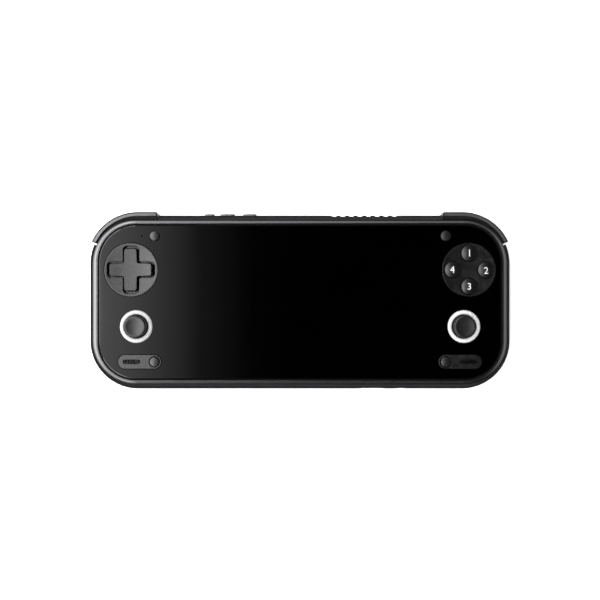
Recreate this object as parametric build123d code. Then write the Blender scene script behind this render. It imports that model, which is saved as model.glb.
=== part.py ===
from build123d import *
import os
from math import asin, cos, radians, sin, sqrt

# Pocket-size handheld game console with an all-glass front, lying on its back.
# Millimetres. The origin is the centre of the flat rear face, +X is the player's right,
# +Y the shoulder edge and +Z out of the screen. Pieces that exist on both sides are
# modelled on the right (+X) and mirrored to the left.

# Outer form
body_width = 156.0
body_height = 64.5
corner_radius = 17.7
parting_height = 4.4
widest_height = 7.6
band_top = 12.6
parting_inset = 0.3
band_side_inset = 1.28
band_end_inset = 1.85
band_top_radius = 16.2
groove_width = 0.5
groove_depth = 0.5
rim_top = 14.0
rim_chamfer_side_width = 1.5
rim_chamfer_end_width = 0.85
rim_chamfer_height = 0.5
rim_side_width = 1.8
rim_end_width = 1.08
cut_overrun = 1.0

# Walls and levels
glass_top = 14.3
glass_thickness = 1.1
glass_gap = 0.15
glass_radius = 14.0
glass_edge_round = 0.8
glass_ledge = 1.3
display_thickness = 1.8
web_thickness = 1.0
wall_side = 2.4
rear_floor = 1.4
rear_edge_radius = 4.2
rear_wall = 2.3
parting_gap = 0.1

# Places of the controls: in from the side edge, and up the body as shares of its height
dish_inset = 15.93
stick_inset = 17.8
pill_inset = 19.14
small_button_inset = 24.56
mic_inset = 19.9
upper_button_end_inset = 7.99
dish_y_share = 0.1839
stick_y_share = -0.1394
pill_y_share = -0.34

# Shared gaps
hole_gap = 0.1
button_gap = 0.2
seat_gap = 0.15
flat_gap = 0.3
pin_gap = 0.06

# Control dishes
dish_radius = 9.95
dish_rim_drop = 0.2
dish_hollow = 0.2
dish_lip_width = 0.5
dish_lip_round = 0.18
dish_plate = 1.4
dish_flange = 0.35
dish_skirt_wall = 0.8
dish_flange_drop = 0.7

# D-pad
dpad_span = 15.8
dpad_arm_width = 4.9
dpad_arm_round = 1.0
dpad_inner_round = 0.6
dpad_end_gap = 0.88
dpad_side_gap = 0.52
dpad_top = 15.7
dpad_bottom = 10.9
dpad_flange_radius = 9.0
dpad_flange_thickness = 0.7
dpad_edge_round = 0.45
dpad_hollow = 0.15
pivot_ball_radius = 1.4
pivot_ball_gap = 0.06
pivot_post_radius = 1.9
pivot_post_drop = 0.4

# Face buttons
face_button_radius = 2.95
face_button_reach = 6.1
face_button_top = 15.35
face_button_crown = 0.4
face_button_edge_round = 0.2
face_button_flange = 0.3
face_button_height = 3.85
button_flange_thickness = 0.7

# Rubber membranes
membrane_thickness = 0.35
membrane_radius = 8.8
dpad_dome_reach = 5.0
dpad_dome_radius = 1.2
dpad_dome_height = 0.7
face_dome_radius = 1.9
face_dome_height = 0.8

# Small round buttons
small_button_radius = 1.83
small_button_top = 14.95
small_button_crown = 0.15
small_button_edge_round = 0.35
small_button_flange = 0.6
small_button_length = 2.75
small_button_stem = 0.8
small_button_travel = 0.5

# Sticks and light rings
ring_outer_radius = 6.0
ring_inner_radius = 4.5
ring_top = 14.45
ring_flange = 0.7
ring_flange_inner = 0.8
ring_skirt_wall = 0.6
pivot_height = 8.0
cap_radius = 4.12
cap_top = 18.0
cap_thickness = 1.75
cap_round = 0.5
cap_hollow = 0.2
cap_hollow_radius = 3.3
cap_neck_radius = 2.6
dome_radius = 6.7
dome_wall = 0.7
dome_half_angle = 48.0
lever_radius = 1.1
lever_top_cover = 0.9
lever_ball_radius = 1.6
trunnion_radius = 0.5
yoke_wall = 1.0
yoke_half_height = 0.9
saddle_half_height = 1.2
yoke_swing_room = 0.35
housing_size = 12.0
housing_wall = 0.6
housing_top_plate = 0.4
housing_hole_radius = 4.4
housing_bottom = 3.6
click_switch_radius = 1.2
click_switch_gap = 0.45
web_stick_radius = 6.1

# Pill plates and speakers
pill_length = 16.1
pill_width = 5.4
pill_top = 14.4
pill_edge_round = 0.25
pill_flange = 0.6
pill_flange_thickness = 0.5
pill_button_shift = 5.42
slot_length = 6.3
slot_width = 1.65
slot_shift = 2.95
slot_bar = 0.3
slot_bar_count = 10
speaker_length = 12.4
speaker_width = 8.2
speaker_bottom = 6.9
speaker_top = 12.4
speaker_shift = 3.6
speaker_corner = 1.5
cone_depth = 0.8
cone_border = 1.1

# Shoulder buttons, triggers and their pins
shoulder_arc_inset = 0.45
shoulder_radius = 18.68
shoulder_inner_end = 25.25
shoulder_thickness = 2.9
shoulder_crest_width = 1.7
shoulder_crest_drop = 0.15
crest_gap = 0.5
lip_depth = 0.7
shoulder_sweep_angle = 65.5
trigger_sweep_angle = 58.5
pocket_sweep_angle = 67.6
pocket_inner_radius = 13.0
trigger_thickness = 2.6
shoulder_bottom = 8.3
trigger_bottom = 2.6
shoulder_edge_round = 0.45
shoulder_end_round = 0.55
ear_radius = 1.7
ear_inset = 3.55
ear_end_inset = 0.6
ear_neck_half = 1.3
shoulder_pin_radius = 0.8
pin_seat_depth = 0.5

# Keys on the upper edge
key_height = 1.9
key_proud = 0.48
power_key_width = 3.6
power_key_inset = 44.4
volume_up_width = 5.3
volume_up_inset = 51.15
volume_down_width = 5.0
volume_down_inset = 59.3
key_edge_round = 0.2
key_flange = 0.5
key_flange_depth = 0.7
key_board_depth = 0.8
key_switch_depth = 1.4
key_switch_gap = 0.4
key_board_margin = 2.5

# Exhaust slots
vent_inset = 54.1
vent_count = 8
vent_pitch = 3.2
vent_width = 2.1
vent_low = 2.4
vent_high = 10.3

# Ports
usb_inset = 51.15
usb_opening_width = 9.1
usb_opening_height = 3.4
usb_shell_wall = 0.3
usb_depth = 7.3
usb_setback = 0.65
usb_tongue_width = 6.7
usb_tongue_height = 0.7
usb_tongue_setback = 1.0
jack_inset = 40.45
jack_bore_radius = 1.8
jack_frame_gap = 0.05
jack_body_width = 6.2
jack_body_height = 5.0
jack_body_length = 12.0
jack_bore_depth = 11.4
port_gap = 0.08

# Boards, battery and bosses
board_standoff = 1.0
board_thickness = 1.0
main_board_side_inset = 31.3
main_board_top_inset = 5.95
main_board_bottom_inset = 4.65
control_board_lift = 0.3
control_board_thickness = 0.8
control_board_reach = 26.3
control_board_outer_gap = 1.6
control_board_end_inset = 5.25
board_cut_gap = 0.4
switch_half = 1.5
switch_height = 0.9
chip_size = 11.0
chip_height = 0.35
battery_side_inset = 31.0
battery_bottom_inset = 8.25
battery_fan_gap = 4.9
battery_top_edge = 14.0
battery_thickness = 5.4
battery_corner = 1.0
battery_seat = 0.1
display_pill_gap = 3.7
display_end_inset = 5.05
display_radius = 1.2

# Fan and heat sink
fan_y = 8.0
fan_size = 28.0
fan_wall = 0.7
fan_bottom = 1.7
fan_height = 5.5
fan_intake_radius = 9.5
fan_cavity_gap = 0.6
rotor_radius = 12.3
rotor_hub_radius = 5.5
rotor_end_gap = 0.5
blade_count = 13
blade_thickness = 0.55
blade_arc_radius = 9.5
blade_arc_offset = 8.0
spindle_radius = 0.75
spindle_cover = 0.7
fin_count = 15
fin_thickness = 0.4
fin_gap = 0.3
heat_plate_thickness = 0.5
heat_plate_clear = 0.15
fin_bottom = 2.2
fin_wall_gap = 0.25
grille_slot_width = 1.4
grille_pitch = 2.5
grille_count = 7

# Fasteners
screw_side_inset = 28.9
screw_end_inset = 6.6
side_screw_inset = 7.4
side_screw_y_share = -0.0186
screw_radius = 0.8
screw_head_radius = 1.6
screw_head_height = 0.9
screw_sink = 0.25
screw_length = 7.6
boss_radius = 2.0
small_screw_radius = 0.6
small_screw_head_radius = 1.2
small_screw_head_height = 0.5
small_boss_radius = 1.5
main_screw_board_inset = 3.5
main_screw_end_inset = 9.75
inner_control_screw_inset = 24.0
inner_control_screw_y_share = 0.0543
outer_control_screw_inset = 8.4
outer_control_screw_y_share = -0.2016

# Levels worked out from the sizes above
half_width = body_width / 2
half_height = body_height / 2
glass_bottom = glass_top - glass_thickness
web_top = glass_bottom - display_thickness
web_bottom = web_top - web_thickness
board_top = web_bottom - board_standoff
board_bottom = board_top - board_thickness
control_board_top = board_top + control_board_lift
control_board_bottom = control_board_top - control_board_thickness
groove_floor = band_top - groove_depth
dish_bottom = glass_bottom - dish_flange_drop
housing_top = web_bottom - button_gap
lip_bottom = band_top - lip_depth
shoulder_top = band_top - shoulder_crest_drop
shoulder_ledge = lip_bottom - flat_gap
trigger_top = shoulder_bottom - flat_gap
small_switch_top = control_board_top + switch_height + button_gap
small_stem_bottom = small_switch_top + small_button_travel + seat_gap
rear_wall_top = parting_height - parting_gap
fan_top = fan_bottom + fan_height

# Half sizes of the outlines, sides first and then the upper and lower ends
band_half = (half_width - band_side_inset, half_height - band_end_inset)
rim_half = (band_half[0] - groove_width, band_half[1] - groove_width)
rim_radius = band_top_radius - groove_width
glass_half = (rim_half[0] - rim_side_width - glass_gap, rim_half[1] - rim_end_width - glass_gap)
front_cavity_half = (glass_half[0] - glass_ledge, glass_half[1] - glass_ledge)
rear_cavity_half = (half_width - wall_side, half_height - wall_side)
rear_outer_half = (half_width - parting_inset, half_height - parting_inset)
rear_inner_half = (rear_outer_half[0] - rear_wall, rear_outer_half[1] - rear_wall)

# Places of the controls on the right side
dish_x = half_width - dish_inset
dish_y = body_height * dish_y_share
stick_x = half_width - stick_inset
stick_y = body_height * stick_y_share
pill_x = half_width - pill_inset
pill_y = body_height * pill_y_share
small_x = half_width - small_button_inset
upper_button_y = half_height - upper_button_end_inset
mic_x = half_width - mic_inset
pill_button_x = pill_x - pill_button_shift
speaker_x = pill_x + speaker_shift
corner_x = half_width - corner_radius
corner_y = half_height - corner_radius
shoulder_x = corner_x - shoulder_arc_inset
shoulder_end_x = half_width - shoulder_inner_end
ear_x = shoulder_end_x + ear_radius
ear_y = half_height - ear_inset
power_key_x = power_key_inset - half_width
volume_up_x = volume_up_inset - half_width
volume_down_x = volume_down_inset - half_width
vent_x = half_width - vent_inset
usb_x = half_width - usb_inset
jack_x = half_width - jack_inset
housing_half = housing_size / 2

# Boards, battery, fan and screws follow the outer form
main_board_half = half_width - main_board_side_inset
control_board_inner = half_width - control_board_reach
control_board_half_height = half_height - control_board_end_inset
pill_inner_end = pill_x - pill_length / 2 - pill_flange
display_half = (pill_inner_end - display_pill_gap, half_height - display_end_inset)
fan_x = vent_x
fin_edge = half_height - wall_side - fin_wall_gap
battery_low = (battery_side_inset - half_width, battery_bottom_inset - half_height)
battery_high = (fan_x - fan_size / 2 - battery_fan_gap, battery_top_edge)
screw_x = half_width - screw_side_inset
screw_y = half_height - screw_end_inset
side_screw_x = half_width - side_screw_inset
side_screw_y = body_height * side_screw_y_share
main_screw_x = main_board_half - main_screw_board_inset
main_screw_y = half_height - main_screw_end_inset
control_screws = [
    (half_width - inner_control_screw_inset, body_height * inner_control_screw_y_share),
    (half_width - outer_control_screw_inset, body_height * outer_control_screw_y_share),
]
rear_screws_at = [
    (sign * x, y)
    for sign in (-1, 1)
    for x, y in ((screw_x, screw_y), (screw_x, -screw_y), (side_screw_x, side_screw_y))
]
main_screws_at = [(sx * main_screw_x, sy * main_screw_y) for sx in (-1, 1) for sy in (-1, 1)]

BASE = (Align.CENTER, Align.CENTER, Align.MIN)


def outline(half, radius):
    """Rounded outline of the body, from its half sizes and corner radius."""
    return RectangleRounded(2 * half[0], 2 * half[1], radius)


def slab(face, bottom, top):
    """Prism of a face between two levels."""
    return Pos(0, 0, bottom) * extrude(face, top - bottom)


def disc(x, y, radius, bottom, top):
    """Upright cylinder between two levels."""
    return Pos(x, y, bottom) * Cylinder(radius, top - bottom, align=BASE)


def block(x_low, x_high, y_low, y_high, bottom, top):
    """Box between two places along each axis."""
    size = Box(x_high - x_low, y_high - y_low, top - bottom, align=(Align.MIN,) * 3)
    return Pos(x_low, y_low, bottom) * size


def wall_prism(face, x, z, y_low, y_high):
    """Prism of a face drawn upright, along Y through a wall."""
    return Pos(x, y_high, z) * extrude(Plane.XZ * face, y_high - y_low)


def crown_radius(half_chord, rise):
    """Radius of the arc that rises by so much over half its chord."""
    return (half_chord ** 2 + rise ** 2) / (2 * rise)


def mirrored(piece):
    """The left-hand copy of a right-hand piece."""
    return mirror(piece, about=Plane.YZ)


# Front frame, glass and display

def corner_band(outer, inner, inner_end, sweep):
    """Band round the upper right corner: straight from its inner end, then an arc."""
    end = radians(90 - sweep)
    outer_end = (shoulder_x + outer * cos(end), corner_y + outer * sin(end))
    inner_point = (shoulder_x + inner * cos(end), corner_y + inner * sin(end))
    edges = [
        Line((inner_end, corner_y + outer), (shoulder_x, corner_y + outer)),
        CenterArc((shoulder_x, corner_y), outer, 90, -sweep),
        Line(outer_end, inner_point),
        CenterArc((shoulder_x, corner_y), inner, 90, -sweep),
        Line((shoulder_x, corner_y + inner), (inner_end, corner_y + inner)),
        Line((inner_end, corner_y + inner), (inner_end, corner_y + outer)),
    ]
    return make_face(edges)


def shoulder_pockets(bottom, top):
    """Room in both upper corners for the shoulder buttons and triggers to swing."""
    outer = shoulder_radius + cut_overrun
    face = corner_band(outer, pocket_inner_radius, shoulder_end_x - flat_gap,
                       pocket_sweep_angle)
    pocket = slab(face, bottom, top)
    pocket += disc(ear_x, ear_y, ear_radius + flat_gap, bottom, top)
    return pocket + mirrored(pocket)


def crest_pockets():
    """Room in the top of the band for the raised crests of the shoulder buttons."""
    outer = shoulder_radius + cut_overrun
    inner = shoulder_radius - shoulder_crest_width - crest_gap
    face = corner_band(outer, inner, shoulder_end_x - flat_gap, pocket_sweep_angle)
    pocket = slab(face, lip_bottom - cut_overrun, band_top + cut_overrun)
    return pocket + mirrored(pocket)


def exhaust_slots():
    """Row of upright slots through the upper wall."""
    slots = []
    for index in range(vent_count):
        x = vent_x + (index - (vent_count - 1) / 2) * vent_pitch
        face = SlotOverall(vent_high - vent_low, vent_width, rotation=90)
        middle = (vent_high + vent_low) / 2
        slots.append(wall_prism(face, x, middle, half_height - wall_side - cut_overrun,
                                half_height + cut_overrun))
    return slots


def keys():
    """Name, place and width of each key on the upper edge."""
    return [
        ("power_key", power_key_x, power_key_width),
        ("volume_up_key", volume_up_x, volume_up_width),
        ("volume_down_key", volume_down_x, volume_down_width),
    ]


def frame_shell():
    """Crowned side band, groove and chamfered rim."""
    parting = outline(rear_outer_half, corner_radius - parting_inset)
    widest = outline((half_width, half_height), corner_radius)
    top = outline(band_half, band_top_radius)
    band = loft([
        Pos(0, 0, parting_height) * parting,
        Pos(0, 0, widest_height) * widest,
        Pos(0, 0, band_top) * top,
    ])
    rim = outline(rim_half, rim_radius)
    chamfer_start = rim_top - rim_chamfer_height
    rim_edge_half = (rim_half[0] - rim_chamfer_side_width, rim_half[1] - rim_chamfer_end_width)
    rim_edge_radius = rim_radius - (rim_chamfer_side_width + rim_chamfer_end_width) / 2
    rim_edge = outline(rim_edge_half, rim_edge_radius)
    chamfered = loft([Pos(0, 0, chamfer_start) * rim, Pos(0, 0, rim_top) * rim_edge], ruled=True)
    groove = slab(outline(band_half, band_top_radius), groove_floor, band_top + cut_overrun)
    trimmed = band - (groove - slab(rim, groove_floor, band_top + cut_overrun))
    return trimmed + slab(rim, band_top, chamfer_start) + chamfered


def web_openings():
    """Holes in the mid plate for the controls, on both sides."""
    low = web_bottom - cut_overrun
    high = web_top + cut_overrun
    inner_skirt = dish_radius + dish_flange - dish_skirt_wall
    dish_hole = disc(dish_x, dish_y, inner_skirt, low, high)
    stick_hole = disc(stick_x, stick_y, web_stick_radius, low, high)
    small_hole_radius = small_button_radius + small_button_flange
    upper = disc(small_x, upper_button_y, small_hole_radius, low, high)
    lower = disc(pill_button_x, pill_y, small_hole_radius, low, high)
    speaker_face = RectangleRounded(speaker_length + 2 * button_gap,
                                    speaker_width + 2 * button_gap, speaker_corner)
    speaker_hole = slab(Pos(speaker_x, pill_y) * speaker_face, low, high)
    right = [dish_hole, stick_hole, upper, lower, speaker_hole]
    return right + [mirrored(hole) for hole in right]


def frame_bosses():
    """Posts under the mid plate for the rear screws and the board screws."""
    bosses = [disc(x, y, boss_radius, parting_height, web_bottom) for x, y in rear_screws_at]
    bosses += [disc(x, y, small_boss_radius, board_top, web_bottom) for x, y in main_screws_at]
    for x, y in control_screws:
        for sign in (-1, 1):
            bosses.append(disc(sign * x, y, small_boss_radius, control_board_top, web_bottom))
    return bosses


def frame_bores():
    """Screw bores in the posts, and the seats of the shoulder pins in the lip."""
    top = web_top - seat_gap
    bores = [disc(x, y, screw_radius + pin_gap, parting_height - cut_overrun, top)
             for x, y in rear_screws_at]
    bores += [disc(x, y, small_screw_radius + pin_gap, board_bottom, top)
              for x, y in main_screws_at]
    for x, y in control_screws:
        for sign in (-1, 1):
            bores.append(disc(sign * x, y, small_screw_radius + pin_gap, board_bottom, top))
    for sign in (-1, 1):
        bores.append(disc(sign * ear_x, ear_y, shoulder_pin_radius + pin_gap, web_bottom,
                          lip_bottom + pin_seat_depth + seat_gap))
    return bores


def port_openings():
    """Openings for the charging port and the headphone jack in the lower wall."""
    low = -half_height - cut_overrun
    high = -half_height + wall_side + cut_overrun
    usb = SlotOverall(usb_opening_width, usb_opening_height)
    jack = Circle(jack_bore_radius + jack_frame_gap)
    return [
        wall_prism(usb, usb_x, widest_height, low, high),
        wall_prism(jack, jack_x, widest_height, low, high),
    ]


def key_openings():
    """Pill-shaped openings for the keys in the upper wall."""
    openings = []
    for _, x, width in keys():
        face = SlotOverall(width + 2 * seat_gap, key_height + 2 * seat_gap)
        openings.append(wall_prism(face, x, widest_height, half_height - wall_side - cut_overrun,
                                   half_height + cut_overrun))
    return openings


def mid_frame():
    """Metal frame: side band and rim, with a mid plate that carries everything else."""
    frame = frame_shell()
    glass_seat = (glass_half[0] + glass_gap, glass_half[1] + glass_gap)
    frame -= slab(outline(glass_seat, glass_radius + glass_gap), glass_bottom,
                  rim_top + cut_overrun)
    frame -= slab(outline(front_cavity_half, glass_radius - glass_ledge), web_top,
                  rim_top + cut_overrun)
    frame -= slab(outline(rear_cavity_half, corner_radius - wall_side),
                  parting_height - cut_overrun, web_bottom)
    frame += frame_bosses()
    frame -= web_openings()
    frame -= shoulder_pockets(parting_height - cut_overrun, lip_bottom)
    frame -= crest_pockets()
    frame -= frame_bores() + port_openings() + key_openings() + exhaust_slots()
    return frame


def pill_face(grow):
    """Pill outline of the speaker plate, grown all round by so much."""
    return SlotOverall(pill_length + 2 * grow, pill_width + 2 * grow)


def front_glass():
    """Cover glass with a rounded edge and a hole for each control."""
    glass = slab(outline(glass_half, glass_radius), glass_bottom, glass_top)
    glass = fillet(glass.edges().group_by(Axis.Z)[-1], glass_edge_round)
    low = glass_bottom - cut_overrun
    high = glass_top + cut_overrun
    right = [
        disc(dish_x, dish_y, dish_radius + hole_gap, low, high),
        disc(stick_x, stick_y, ring_outer_radius + hole_gap, low, high),
        disc(small_x, upper_button_y, small_button_radius + button_gap, low, high),
        slab(Pos(pill_x, pill_y) * pill_face(hole_gap), low, high),
    ]
    glass -= right + [mirrored(hole) for hole in right]
    glass -= disc(-mic_x, upper_button_y, flat_gap, low, high)
    return glass


def display_panel():
    """Flat display bonded under the glass."""
    face = outline(display_half, display_radius)
    return slab(face, web_top, glass_bottom)


def rear_cover():
    """Moulded rear shell with rounded edges, an intake grille and screw posts."""
    cover = slab(outline(rear_outer_half, corner_radius - parting_inset), 0, rear_wall_top)
    cover = fillet(cover.edges().group_by(Axis.Z)[0], rear_edge_radius)
    cavity = outline(rear_inner_half, corner_radius - parting_inset - rear_wall)
    cover -= slab(cavity, rear_floor, rear_wall_top + cut_overrun)
    cover += [disc(x, y, boss_radius, rear_floor, rear_wall_top) for x, y in rear_screws_at]
    cover -= shoulder_pockets(trigger_bottom - flat_gap, rear_wall_top + cut_overrun)
    for sign in (-1, 1):
        cover += disc(sign * ear_x, ear_y, ear_radius, rear_floor, trigger_bottom - flat_gap)
        cover -= disc(sign * ear_x, ear_y, shoulder_pin_radius + pin_gap, rear_floor,
                      trigger_bottom)
    cover -= exhaust_slots()
    cover -= intake_slots()
    for x, y in rear_screws_at:
        cover -= disc(x, y, screw_radius + seat_gap, -cut_overrun, rear_wall_top + cut_overrun)
        cover -= disc(x, y, screw_head_radius + seat_gap, -cut_overrun,
                      screw_sink + screw_head_height)
    return cover


def intake_slots():
    """Slots under the fan, each as long as the round intake is wide there."""
    slots = []
    for index in range(grille_count):
        offset = (index - (grille_count - 1) / 2) * grille_pitch
        half = sqrt(fan_intake_radius ** 2 - offset ** 2)
        face = Pos(fan_x, fan_y + offset) * SlotOverall(2 * half, grille_slot_width)
        slots.append(slab(face, -cut_overrun, rear_floor + cut_overrun))
    return slots


# D-pad and face buttons

def plus_face(span, width, rounding):
    """Plus outline with rounded arm ends and inner corners."""
    arm = RectangleRounded(span, width, rounding)
    plus = arm + Rot(0, 0, 90) * arm
    inner_corners = plus.vertices().sort_by_distance((0, 0, 0))[0:4]
    return fillet(inner_corners, dpad_inner_round)


def dish_blank():
    """Round dish: a hollowed plate with a flange under the glass and a skirt on the mid plate."""
    rim = glass_top - dish_rim_drop
    flange_radius = dish_radius + dish_flange
    dish = disc(0, 0, dish_radius, dish_bottom, rim)
    dish += disc(0, 0, flange_radius, web_top, glass_bottom - hole_gap)
    dish -= disc(0, 0, flange_radius - dish_skirt_wall, web_top - cut_overrun,
                 rim - dish_hollow - dish_plate)
    hollow_radius = crown_radius(dish_radius - dish_lip_width, dish_hollow)
    dish -= Pos(0, 0, rim - dish_hollow + hollow_radius) * Sphere(hollow_radius)
    return fillet(dish.edges().group_by(Axis.Z)[-1], dish_lip_round)


def dpad_dish():
    """Dish with a plus-shaped opening."""
    opening = plus_face(dpad_span + 2 * dpad_end_gap, dpad_arm_width + 2 * dpad_side_gap,
                        dpad_arm_round + dpad_side_gap)
    dish = dish_blank() - slab(opening, web_top - cut_overrun, glass_top + cut_overrun)
    return Pos(-dish_x, dish_y, 0) * dish


def button_places():
    """Where the four face buttons stand in their dish."""
    reach = face_button_reach
    return {"top": (0, reach), "left": (-reach, 0), "right": (reach, 0), "bottom": (0, -reach)}


def face_button_dish():
    """Dish with four round openings."""
    dish = dish_blank()
    for x, y in button_places().values():
        dish -= disc(x, y, face_button_radius + button_gap, web_top, glass_top + cut_overrun)
    return Pos(dish_x, dish_y, 0) * dish


def dpad():
    """Plus-shaped pad with a flange below, hollowed on top and socketed for its pivot ball."""
    face = plus_face(dpad_span, dpad_arm_width, dpad_arm_round)
    pad = slab(face, dpad_bottom, dpad_top)
    pad = fillet(pad.edges().group_by(Axis.Z)[-1], dpad_edge_round)
    hollow_radius = crown_radius(dpad_span / 2, dpad_hollow)
    pad -= Pos(0, 0, dpad_top - dpad_hollow + hollow_radius) * Sphere(hollow_radius)
    pad += disc(0, 0, dpad_flange_radius, dpad_bottom, dpad_bottom + dpad_flange_thickness)
    pad -= Pos(0, 0, dpad_bottom) * Sphere(pivot_ball_radius + pivot_ball_gap)
    return Pos(-dish_x, dish_y, 0) * pad


def dpad_pivot_ball():
    """Steel ball under the middle of the pad."""
    return Pos(-dish_x, dish_y, dpad_bottom) * Sphere(pivot_ball_radius)


def domed_button(radius, crown, edge_round, top, length, flange):
    """Round button turned about Z: domed top, straight side and a flange at its foot."""
    shoulder = top - crown
    bottom = top - length
    flange_top = bottom + button_flange_thickness
    edge_line = [
        Line((0, 0, bottom), (radius + flange, 0, bottom)),
        Line((radius + flange, 0, bottom), (radius + flange, 0, flange_top)),
        Line((radius + flange, 0, flange_top), (radius, 0, flange_top)),
        Line((radius, 0, flange_top), (radius, 0, shoulder)),
    ]
    arc_radius = crown_radius(radius, crown)
    middle = (radius / 2, 0, top - arc_radius + sqrt(arc_radius ** 2 - (radius / 2) ** 2))
    edge_line.append(ThreePointArc((radius, 0, shoulder), middle, (0, 0, top)))
    edge_line.append(Line((0, 0, top), (0, 0, bottom)))
    button = revolve(make_face(edge_line), Axis.Z)
    top_edge = button.edges().filter_by(lambda edge: edge.is_closed).sort_by(Axis.Z)[-1]
    return fillet(top_edge, edge_round)


def face_button(place):
    """One face button in its place."""
    button = domed_button(face_button_radius, face_button_crown, face_button_edge_round,
                          face_button_top, face_button_height, face_button_flange)
    return Pos(dish_x + place[0], dish_y + place[1], 0) * button


def membrane(dome_reach, dome_radius, dome_height):
    """Rubber sheet on the control board with four blunt domes."""
    base = control_board_top
    sheet = disc(0, 0, membrane_radius, base, base + membrane_thickness)
    for x, y in ((0, 1), (-1, 0), (1, 0), (0, -1)):
        dome = Pos(x * dome_reach, y * dome_reach, base) * Cone(
            dome_radius, dome_radius * 3 / 4, dome_height, align=BASE)
        sheet += dome
    return sheet


def dpad_membrane():
    """Membrane of the D-pad, open in the middle for the pivot post."""
    sheet = membrane(dpad_dome_reach, dpad_dome_radius, dpad_dome_height)
    sheet -= disc(0, 0, pivot_post_radius + seat_gap, board_bottom, dpad_bottom)
    return Pos(-dish_x, dish_y, 0) * sheet


def face_button_membrane():
    """Membrane of the four face buttons."""
    sheet = membrane(face_button_reach, face_dome_radius, face_dome_height)
    return Pos(dish_x, dish_y, 0) * sheet


# Small buttons and pill plates

def small_button(length):
    """Small domed button with a stem that ends just above its switch."""
    button = domed_button(small_button_radius, small_button_crown, small_button_edge_round,
                          small_button_top, length, small_button_flange)
    flange_bottom = small_button_top - length
    return button + disc(0, 0, small_button_stem, small_stem_bottom, flange_bottom)


def upper_button():
    """Small domed button in the glass near the upper edge."""
    return Pos(small_x, upper_button_y, 0) * small_button(small_button_length)


def lower_button():
    """Small domed button in the inner end of the pill plate, held lower than the plate."""
    button = small_button(small_button_length + pill_flange_thickness)
    return Pos(pill_button_x, pill_y, 0) * button


def pill_plate():
    """Pill-shaped plate with a barred speaker slot and a hole for its button."""
    low = glass_bottom - pill_flange_thickness
    plate = slab(pill_face(0), low, pill_top)
    plate = fillet(plate.edges().group_by(Axis.Z)[-1], pill_edge_round)
    plate += slab(pill_face(pill_flange), low, glass_bottom - hole_gap)
    plate -= disc(-pill_button_shift, 0, small_button_radius + button_gap, low - cut_overrun,
                  pill_top + cut_overrun)
    slot = SlotOverall(slot_length, slot_width)
    bars = [Pos(x, 0) * Rectangle(slot_bar, slot_width) for x in bar_places()]
    openings = slot - bars
    plate -= slab(Pos(slot_shift, 0) * openings, low - cut_overrun, pill_top + cut_overrun)
    return Pos(pill_x, pill_y, 0) * plate


def bar_places():
    """Even places of the fine bars along the speaker slot."""
    pitch = slot_length / (slot_bar_count + 1)
    return [(index + 1) * pitch - slot_length / 2 for index in range(slot_bar_count)]


def speaker():
    """Small box speaker with its cone recessed in the top face."""
    face = Pos(speaker_x, pill_y) * RectangleRounded(speaker_length, speaker_width,
                                                     speaker_corner)
    box = slab(face, speaker_bottom, speaker_top)
    cone = Pos(speaker_x, pill_y) * SlotOverall(speaker_length - 2 * cone_border,
                                                speaker_width - 2 * cone_border)
    return box - slab(cone, speaker_top - cone_depth, speaker_top + cut_overrun)


# Thumb sticks

def light_ring():
    """Round-topped ring in the glass, with a flange and a skirt on the mid plate."""
    middle = (ring_outer_radius + ring_inner_radius) / 2
    shoulder = ring_top - (ring_outer_radius - ring_inner_radius) / 2
    foot = glass_bottom - dish_flange_drop
    flange_inner = ring_inner_radius + ring_flange_inner
    flange_outer = ring_outer_radius + ring_flange
    skirt_inner = flange_outer - ring_skirt_wall
    flange_top = glass_bottom - hole_gap
    corners = [
        (ring_inner_radius, shoulder), (ring_inner_radius, glass_bottom),
        (flange_inner, glass_bottom - hole_gap), (flange_inner, foot), (skirt_inner, foot),
        (skirt_inner, web_top), (flange_outer, web_top), (flange_outer, flange_top),
        (ring_outer_radius, flange_top), (ring_outer_radius, shoulder),
    ]
    points = [(r, 0, z) for r, z in corners]
    top = ThreePointArc(points[-1], (middle, 0, ring_top), points[0])
    ring = revolve(make_face([Polyline(points), top]), Axis.Z)
    return Pos(stick_x, stick_y, 0) * ring


def stick_cap():
    """Mushroom cap with a hollowed top and a dome skirt centred on the pivot."""
    low = cap_top - cap_thickness
    cap = disc(0, 0, cap_radius, low, cap_top)
    cap = fillet(cap.edges(), cap_round)
    hollow_radius = crown_radius(cap_hollow_radius, cap_hollow)
    cap -= Pos(0, 0, cap_top - cap_hollow + hollow_radius) * Sphere(hollow_radius)
    dome = Sphere(dome_radius) - Sphere(dome_radius - dome_wall)
    edge_level = dome_radius * cos(radians(dome_half_angle))
    dome &= disc(0, 0, dome_radius, edge_level, dome_radius)
    dome_top = dome_radius - dome_wall / 2
    neck = disc(0, 0, cap_neck_radius, pivot_height + dome_top * cos(asin(
        cap_neck_radius / dome_radius)), low + cap_round)
    cap += [neck, Pos(0, 0, pivot_height) * dome]
    cap -= disc(0, 0, lever_radius + hole_gap / 2, pivot_height, cap_top - lever_top_cover)
    return Pos(stick_x, stick_y, 0) * cap


def cross_pin(reach_in, reach_out, along_y):
    """Pair of round trunnions on one line through the pivot."""
    pin = Pos(reach_in, 0, pivot_height) * (Rot(0, 90, 0) * Cylinder(
        trunnion_radius, reach_out - reach_in, align=BASE))
    pair = pin + mirror(pin, about=Plane.YZ)
    return Rot(0, 0, 90) * pair if along_y else pair


def cross_bore(reach, along_y):
    """Round bore through both walls on one line through the pivot."""
    bore = Pos(-reach, 0, pivot_height) * (Rot(0, 90, 0) * Cylinder(
        trunnion_radius + pin_gap, 2 * reach, align=BASE))
    return Rot(0, 0, 90) * bore if along_y else bore


yoke_inner = lever_ball_radius + flat_gap
yoke_outer = yoke_inner + yoke_wall
saddle_inner = yoke_outer + yoke_swing_room
saddle_outer = housing_half - housing_wall - button_gap


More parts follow.
